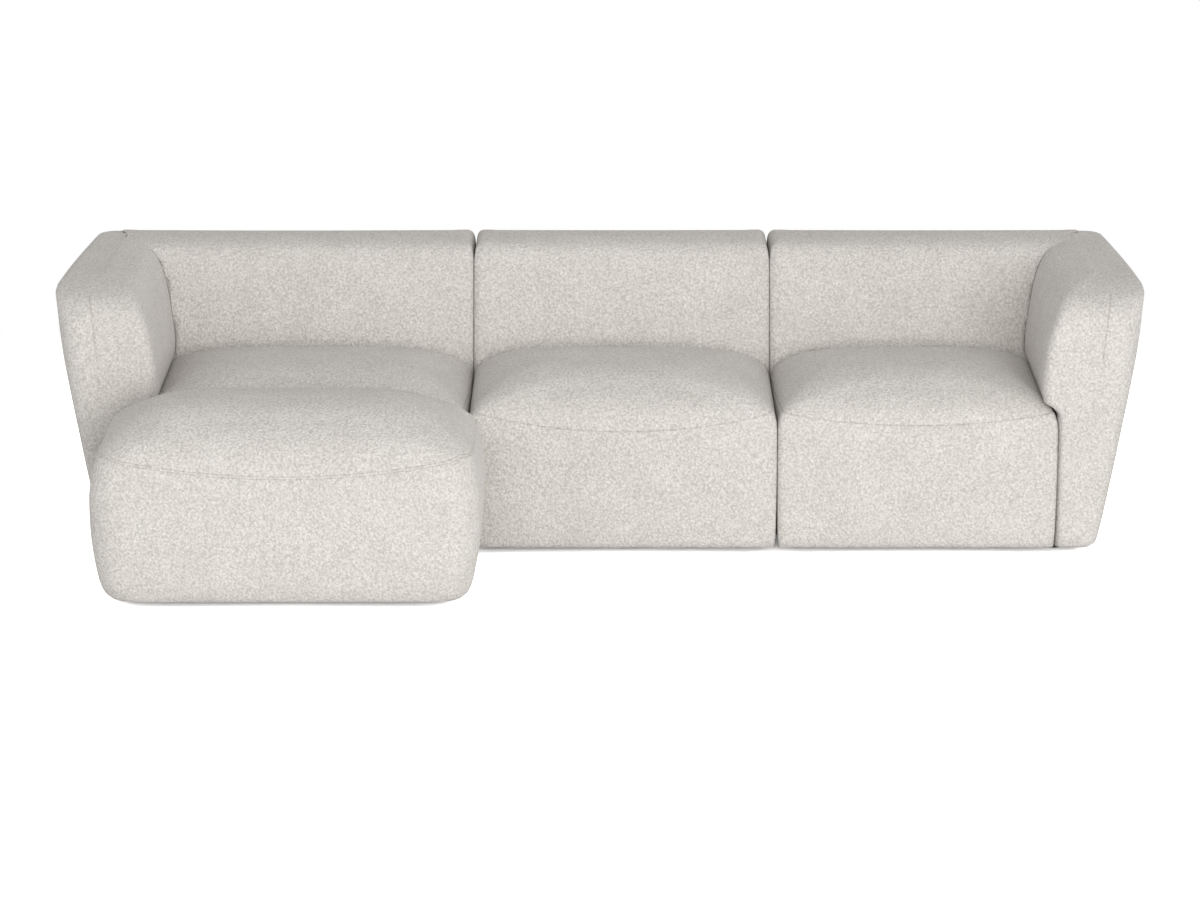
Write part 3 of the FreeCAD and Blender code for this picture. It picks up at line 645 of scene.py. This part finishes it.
def seat_form(low, high, side_draw, end_draw, rear_draw, radius, rear_radius, rise):
    """A crowned seat between two corners of its CAD box."""
    heights, rows = [], []
    for height, draw in zip(SEAT_HEIGHT_SHARES, SEAT_DRAW_SHARES):
        heights.append(FABRIC_BOTTOM + height * (RIM_HEIGHT - FABRIC_BOTTOM))
        rows.append([low[0] + draw * side_draw, high[0] - draw * side_draw, low[1] + draw * end_draw,
                     high[1] - draw * rear_draw, radius, radius, rear_radius, rear_radius, 0, 0])
    rim = rows[-1]
    for turn, fallen in zip(CROWN_TURN_SHARES, CROWN_REAR_SHARES):
        angle = math.radians(90 * turn)
        run = CROWN_RUN * (1 - math.cos(angle))
        rear_run = run if rear_draw else CROWN_REAR_RUN * fallen
        heights.append(RIM_HEIGHT + rise * math.sin(angle))
        rows.append([rim[0] + run, rim[1] - run, rim[2] + run, rim[3] - rear_run,
                     radius + run, radius + run, rear_radius + rear_run, rear_radius + rear_run, 0, 0])
    return Form(heights, rows, fractions(SEAT_ACROSS), fractions(SEAT_DEEP), TOP_CREST)


def seats():
    """The covers of the three seats and the pouf."""
    for side in ("left", "centre", "right"):
        low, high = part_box(side + "_seat_cover")
        form = seat_form(low, high, SEAT_SIDE_DRAW, SEAT_DRAW, 0, SEAT_RADIUS, SEAT_REAR_RADIUS, CROWN_RISE)
        dip = NARROW_SEAM_DIP if side == "right" else SEAM_DIP
        form.raise_seamed((SEAT_SEAM_HEIGHT, SEAT_SEAM_HEIGHT, RIM_HEIGHT, RIM_HEIGHT), (dip, 0, 0, 0))
        x, y = form.points()[:, :2].T
        cushion(side + "_seat_boucle", form, side + "_module", side + "_seat_cover",
                held(form, x - low[0], high[0] - x, high[1] - y))
    low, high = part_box("pouf_seat_cover")
    form = seat_form(low, high, POUF_DRAW, POUF_END_DRAW, POUF_END_DRAW, POUF_RADIUS, POUF_RADIUS,
                     POUF_CROWN_RISE)
    form.raise_seamed([POUF_SEAM_HEIGHT] * 4, (SEAM_DIP, POUF_END_DIP, SEAM_DIP, POUF_END_DIP))
    cushion("pouf_boucle", form, "pouf", "pouf_seat_cover",
            held(form, high[1] - form.points()[:, 1]), double=True)


def tall_heights(top):
    """The heights of the rows of the backs and arms."""
    lower = [FABRIC_BOTTOM + share * (SWELL_HEIGHT - FABRIC_BOTTOM) for share in LOWER_HEIGHT_SHARES]
    return lower + [SWELL_HEIGHT + share * (top - SWELL_HEIGHT) for share in UPPER_HEIGHT_SHARES]


def arm_rows(side):
    """The heights and rows of an arm, on the high X side of its seat."""
    low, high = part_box(side + "_arm_cover")
    seat_low, seat_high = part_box(side + "_seat_cover")
    edge = -seat_low[0] if side == "left" else seat_high[0]
    rows = []
    for row, outer in enumerate(ARM_OUTER_SHARES):
        rounding = ARM_ROUNDING * ARM_ROUNDING_SHARES[row]
        rows.append([edge + ARM_REACH * ARM_INNER_SHARES[row], edge + ARM_REACH * outer,
                     low[1] + ARM_FRONT_ROUND * ARM_FRONT_SHARES[row],
                     high[1] - REAR_FLARE * (1 - REAR_FLARE_SHARES[row]), ARM_FRONT_RADIUS,
                     ARM_FRONT_RADIUS + rounding, ARM_REAR_RADIUS + rounding, EDGE_RADIUS + rounding,
                     ARM_INNER_TAPER * ARM_INNER_TAPER_SHARES[row], ARM_REAR_TAPER * outer])
    return tall_heights(high[2]), rows


def arms():
    """The covers of the two arms, with a seam up each front and over the top."""
    for side in ("left", "right"):
        heights, rows = arm_rows(side)
        form = Form(heights, rows, fractions(ARM_ACROSS, ARM_SEAM_SHARE, ARM_REACH), fractions(ARM_DEEP))
        form.upright = (ARM_SEAM_SHARE, ARM_SEAM_REACH)
        form.raise_plain(ARM_LEVELS)
        form.fill_out(ARM_FULLNESS, SWELL_HEIGHT)
        cushion(side + "_arm_boucle", form, side + "_module", side + "_arm_cover",
                held(form, form.shares_across() * ARM_REACH), offsets=arm_seam(form), flip=side == "left")


def backs():
    """The covers of the three backs. Beside an arm a back runs on and ends against the arm's inner face."""
    for side in ("left", "centre", "right"):
        low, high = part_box(side + "_back_cover")
        start, end = (-high[0], -low[0]) if side == "left" else (low[0], high[0])
        heights = tall_heights(high[2])
        rows = []
        for row in range(len(heights)):
            corner = BACK_CORNER * BACK_CORNER_SHARES[row]
            rows.append([start + corner, end - corner, low[1] + BACK_LEAN * BACK_LEAN_SHARES[row],
                         high[1] - REAR_FLARE * (1 - REAR_FLARE_SHARES[row]), *[EDGE_RADIUS] * 4, 0, 0])
        if side != "centre":
            heights, arm = arm_rows(side)
            for row, arm_row in zip(rows, arm):
                row[1] = max(arm_row[0] + arm_row[8], end) + BACK_BEHIND_ARM
        form = Form(heights, rows, fractions(BACK_ACROSS), fractions(BACK_DEEP))
        form.raise_plain(BACK_LEVELS)
        shares = form.shares_across()
        cushion(side + "_back_boucle", form, side + "_module", side + "_back_cover",
                held(form, np.minimum(shares, 1 - shares) * (end - start), form.points()[:, 1] - low[1]),
                flip=side == "left", beside=None if side == "centre" else (heights, arm))


def arm_seam(form):
    """How far each point of an arm stands from the seam up its front, which fades out below and behind."""
    offset = (form.across - ARM_SEAM_SHARE) * ARM_REACH
    ring = np.full(form.count, FAR_FROM_SEAM)
    ring[:form.nx] = offset[:-1]
    sides = np.tile(ring, len(form.rings))
    top = np.broadcast_to(offset[1:-1, None], (form.nx - 1, form.ny - 1))
    offsets = np.concatenate([sides, top.ravel()])
    points = form.points()
    below = np.maximum(ARM_SEAM_FOOT - points[:, 2], 0)
    behind = np.maximum(points[:, 1] - points[:, 1].min() - ARM_SEAM_END, 0)
    return np.clip(np.hypot(offsets, ARM_SEAM_FADE * (below + behind)), 0, FAR_FROM_SEAM)


def fillings():
    """The foam and wadding inside every cover."""
    for entry in frame["record"]["subparts"]:
        node = entry["node"]
        if node.endswith(("_foam", "_topper")):
            body = "pouf" if node.startswith("pouf") else node.split("_")[0] + "_module"
            filling(node, body)


def shader_tree(name):
    """A new material with only its output and principled shader."""
    material = bpy.data.materials.new(name)
    looks[name] = material
    material.use_nodes = True
    tree = material.node_tree
    tree.nodes.clear()
    output = tree.nodes.new("ShaderNodeOutputMaterial")
    shader = tree.nodes.new("ShaderNodeBsdfPrincipled")
    tree.links.new(shader.outputs["BSDF"], output.inputs["Surface"])
    return tree, shader


def calculated(tree, operation, first, second=None, third=None):
    """A maths node on sockets or numbers, as its output socket."""
    maths = tree.nodes.new("ShaderNodeMath")
    maths.operation = operation
    for place, value in enumerate((first, second, third)):
        if value is None:
            continue
        if isinstance(value, (int, float)):
            maths.inputs[place].default_value = value
        else:
            tree.links.new(value, maths.inputs[place])
    return maths.outputs["Value"]


def noise(tree, vector, scale, detail, output="Fac"):
    """A noise texture's output socket."""
    texture = tree.nodes.new("ShaderNodeTexNoise")
    texture.inputs["Scale"].default_value = scale
    texture.inputs["Detail"].default_value = detail
    tree.links.new(vector, texture.inputs["Vector"])
    return texture.outputs[output]


def ramp(tree, factor, low, low_colour, high, high_colour):
    """A two-colour ramp's output socket."""
    colours = tree.nodes.new("ShaderNodeValToRGB")
    colours.color_ramp.elements[0].position = low
    colours.color_ramp.elements[0].color = (*low_colour, 1)
    colours.color_ramp.elements[1].position = high
    colours.color_ramp.elements[1].color = (*high_colour, 1)
    tree.links.new(factor, colours.inputs["Fac"])
    return colours.outputs["Color"]


def multiplied(tree, first, second):
    """Two colours multiplied."""
    mix = tree.nodes.new("ShaderNodeMix")
    mix.data_type = "RGBA"
    mix.blend_type = "MULTIPLY"
    mix.inputs["Factor"].default_value = 1
    tree.links.new(first, mix.inputs["A"])
    tree.links.new(second, mix.inputs["B"])
    return mix.outputs["Result"]


def boucle(name, double):
    """Off-white boucle: looped nubs a few millimetres across in uneven clumps, with painted shade in the
    hollows between the nubs, soft sheen, and painted shade along the seams.
    """
    tree, shader = shader_tree(name)
    node, link = tree.nodes.new, tree.links.new
    position = node("ShaderNodeTexCoord").outputs["Object"]
    drift = noise(tree, position, DRIFT_SCALE, DRIFT_DETAIL, "Color")
    shift = node("ShaderNodeVectorMath")
    shift.operation = "MULTIPLY_ADD"
    shift.inputs[1].default_value = DRIFT_REACH
    link(drift, shift.inputs[0])
    link(position, shift.inputs[2])
    nubs = node("ShaderNodeTexVoronoi")
    nubs.feature = "SMOOTH_F1"
    nubs.inputs["Scale"].default_value = NUB_SCALE
    nubs.inputs["Smoothness"].default_value = NUB_SMOOTHNESS
    nubs.inputs["Randomness"].default_value = NUB_RANDOMNESS
    link(shift.outputs["Vector"], nubs.inputs["Vector"])
    loops = noise(tree, position, LOOP_SCALE, FIBRE_DETAIL)
    clumps = noise(tree, position, CLUMP_SCALE, FIBRE_DETAIL)
    # The colour: uneven clumps of yarn tone, plus painted shade in the hollows between the nubs, darkest
    # where the nub bump is lowest
    mottled_and_nub_shade = calculated(tree, "MULTIPLY_ADD", clumps, CLUMP_SHARE,
                         calculated(tree, "MULTIPLY", nubs.outputs["Distance"], NUB_SHADE_SHARE))
    yarn_and_nub_shade = ramp(tree, mottled_and_nub_shade, *YARN_AND_NUB_SHADE_RAMP)
    cloudy = ramp(tree, noise(tree, position, CLOUD_SCALE, FIBRE_DETAIL), *CLOUD_RAMP)
    colour = multiplied(tree, yarn_and_nub_shade, cloudy)
    # Painted shade: the colour darkens within a few millimetres of each seam, where the crease of the seam
    # lies in shade
    seam = node("ShaderNodeAttribute")
    seam.attribute_name = "across_seam"
    away = calculated(tree, "ABSOLUTE", seam.outputs["Fac"])
    if double:
        away = calculated(tree, "ABSOLUTE", calculated(tree, "SUBTRACT", away, STITCH_GAP))
    line = ramp(tree, calculated(tree, "DIVIDE", away, SEAM_SHADE_WIDTH), *SEAM_SHADE_RAMP)
    link(multiplied(tree, colour, line), shader.inputs["Base Color"])
    nub_height = calculated(tree, "MULTIPLY_ADD", nubs.outputs["Distance"], -1.0,
                            calculated(tree, "MULTIPLY", loops, LOOP_SHARE))
    bump = node("ShaderNodeBump")
    bump.inputs["Strength"].default_value = BOUCLE_BUMP
    bump.inputs["Distance"].default_value = BOUCLE_DEPTH
    link(nub_height, bump.inputs["Height"])
    link(bump.outputs["Normal"], shader.inputs["Normal"])
    shader.inputs["Roughness"].default_value = BOUCLE_ROUGHNESS
    shader.inputs["Sheen Weight"].default_value = BOUCLE_SHEEN
    shader.inputs["Sheen Roughness"].default_value = BOUCLE_SHEEN_ROUGHNESS
    shader.inputs["Specular IOR Level"].default_value = BOUCLE_SPECULAR


def grained(name, dark, light, scale, stretch, roughness, metallic, bump_depth):
    """A material whose colour and roughness follow a stretched noise, as grain or a woven sheet does."""
    tree, shader = shader_tree(name)
    node, link = tree.nodes.new, tree.links.new
    mapping = node("ShaderNodeMapping")
    mapping.inputs["Scale"].default_value = stretch
    link(node("ShaderNodeTexCoord").outputs["Object"], mapping.inputs["Vector"])
    grain = noise(tree, mapping.outputs["Vector"], scale, GRAIN_DETAIL)
    link(ramp(tree, grain, GRAIN_LOW, dark, GRAIN_HIGH, light), shader.inputs["Base Color"])
    rough = node("ShaderNodeMapRange")
    rough.inputs["To Min"].default_value = roughness - ROUGHNESS_SPREAD
    rough.inputs["To Max"].default_value = roughness + ROUGHNESS_SPREAD
    link(grain, rough.inputs["Value"])
    link(rough.outputs["Result"], shader.inputs["Roughness"])
    bump = node("ShaderNodeBump")
    bump.inputs["Strength"].default_value = GRAIN_BUMP
    bump.inputs["Distance"].default_value = bump_depth
    link(grain, bump.inputs["Height"])
    link(bump.outputs["Normal"], shader.inputs["Normal"])
    shader.inputs["Metallic"].default_value = metallic


def finishes():
    """Every material, named after its slot, and those of the CAD pieces that stay."""
    boucle("boucle", False)
    boucle("double_seamed_boucle", True)
    for name, values in GRAINED.items():
        grained(name, *values)
    for entry in frame["record"]["subparts"]:
        if entry["material_slot"] in CAD_SLOTS:
            piece = frame["nodes"][entry["node"]]
            piece.data.materials.clear()
            piece.data.materials.append(looks[entry["material_slot"]])


def looked_at(tree):
    """1 for rays from the camera, mirrors and see-through surfaces, 0 for the light that falls on things."""
    rays = tree.nodes.new("ShaderNodeLightPath").outputs
    mirrored = calculated(tree, "MAXIMUM", rays["Is Glossy Ray"], rays["Is Transmission Ray"])
    return calculated(tree, "MAXIMUM", rays["Is Camera Ray"], mirrored)


def white_floor():
    """A floor that the camera sees as white but for the shadow."""
    mesh = bpy.data.meshes.new("floor")
    corners = [(-FLOOR_REACH, -FLOOR_REACH, 0), (FLOOR_REACH, -FLOOR_REACH, 0),
               (FLOOR_REACH, FLOOR_REACH, 0), (-FLOOR_REACH, FLOOR_REACH, 0)]
    mesh.from_pydata(corners, [], [(0, 1, 2, 3)])
    floor = bpy.data.objects.new("floor", mesh)
    bpy.context.scene.collection.objects.link(floor)
    material = bpy.data.materials.new("floor")
    material.use_nodes = True
    tree = material.node_tree
    tree.nodes.clear()
    node, link = tree.nodes.new, tree.links.new
    seen = looked_at(tree)
    tone = calculated(tree, "MULTIPLY_ADD", seen, FLOOR_SEEN - FLOOR_WHITE, FLOOR_WHITE)
    paint = node("ShaderNodeCombineColor")
    for channel in ("Red", "Green", "Blue"):
        link(tone, paint.inputs[channel])
    diffuse = node("ShaderNodeBsdfDiffuse")
    link(paint.outputs["Color"], diffuse.inputs["Color"])
    distance = node("ShaderNodeVectorMath")
    distance.operation = "LENGTH"
    link(node("ShaderNodeTexCoord").outputs["Object"], distance.inputs[0])
    far = node("ShaderNodeMapRange")
    far.interpolation_type = "SMOOTHSTEP"
    far.inputs["From Min"].default_value = FLOOR_FADE_START
    far.inputs["From Max"].default_value = FLOOR_FADE_END
    link(distance.outputs["Value"], far.inputs["Value"])
    glow = node("ShaderNodeEmission")
    blend = node("ShaderNodeMixShader")
    link(calculated(tree, "MULTIPLY", far.outputs["Result"], seen), blend.inputs["Fac"])
    link(diffuse.outputs["BSDF"], blend.inputs[1])
    link(glow.outputs["Emission"], blend.inputs[2])
    link(blend.outputs["Shader"], node("ShaderNodeOutputMaterial").inputs["Surface"])
    mesh.materials.append(material)


def surround():
    """A soft pale light from all round, stronger from the front and the right, and white to look at."""
    world = bpy.data.worlds.new("world")
    bpy.context.scene.world = world
    world.use_nodes = True
    tree = world.node_tree
    tree.nodes.clear()
    node, link = tree.nodes.new, tree.links.new
    direction = node("ShaderNodeSeparateXYZ")
    link(node("ShaderNodeTexCoord").outputs["Generated"], direction.inputs["Vector"])
    height = calculated(tree, "ABSOLUTE", direction.outputs["Z"])
    light = calculated(tree, "MULTIPLY_ADD", height, -WORLD_LIGHT * WORLD_OVERHEAD_LOSS, WORLD_LIGHT)
    ahead = calculated(tree, "MULTIPLY_ADD", direction.outputs["Y"], -WORLD_FROM_FRONT, 1.0)
    aside = calculated(tree, "MULTIPLY_ADD", direction.outputs["X"], WORLD_FROM_RIGHT, 1.0)
    light = calculated(tree, "MULTIPLY", calculated(tree, "MULTIPLY", light, ahead), aside)
    unseen = calculated(tree, "SUBTRACT", 1.0, looked_at(tree))
    excess = calculated(tree, "SUBTRACT", light, 1.0)
    strength = calculated(tree, "ADD", calculated(tree, "MULTIPLY", excess, unseen), 1.0)
    background = node("ShaderNodeBackground")
    background.inputs["Color"].default_value = (1, 1, 1, 1)
    link(strength, background.inputs["Strength"])
    link(background.outputs["Background"], node("ShaderNodeOutputWorld").inputs["Surface"])


def lamp(name, place, aim, size, power):
    """A soft area lamp at a place, aimed at a point."""
    light = bpy.data.lights.new(name, "AREA")
    light.shape = "RECTANGLE"
    light.size, light.size_y = size
    light.energy = power
    holder = bpy.data.objects.new(name, light)
    bpy.context.scene.collection.objects.link(holder)
    holder.location = place
    across, ahead, up = np.subtract(aim, place)
    tilt = math.pi / 2 + math.atan2(up, math.hypot(across, ahead))
    holder.rotation_euler = (tilt, 0, -math.atan2(across, ahead))


def camera():
    """The camera at the photograph's angle."""
    data = bpy.data.cameras.new("camera")
    data.sensor_width = SENSOR
    data.lens = SENSOR * FOCAL_PIXELS / PICTURE_WIDTH
    data.clip_end = CAMERA_REACH
    holder = bpy.data.objects.new("camera", data)
    bpy.context.scene.collection.objects.link(holder)
    holder.location = (0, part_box("centre_seat_cover")[0][1] - CAMERA_DISTANCE, CAMERA_HEIGHT)
    holder.rotation_euler = (math.pi / 2 - CAMERA_TILT, 0, 0)
    bpy.context.scene.camera = holder


bpy.context.scene.view_settings.view_transform = "Standard"
camera()
white_floor()
surround()
lamp("key", KEY_PLACE, KEY_AIM, KEY_SIZE, KEY_POWER)
finishes()
seats()
backs()
arms()
fillings()
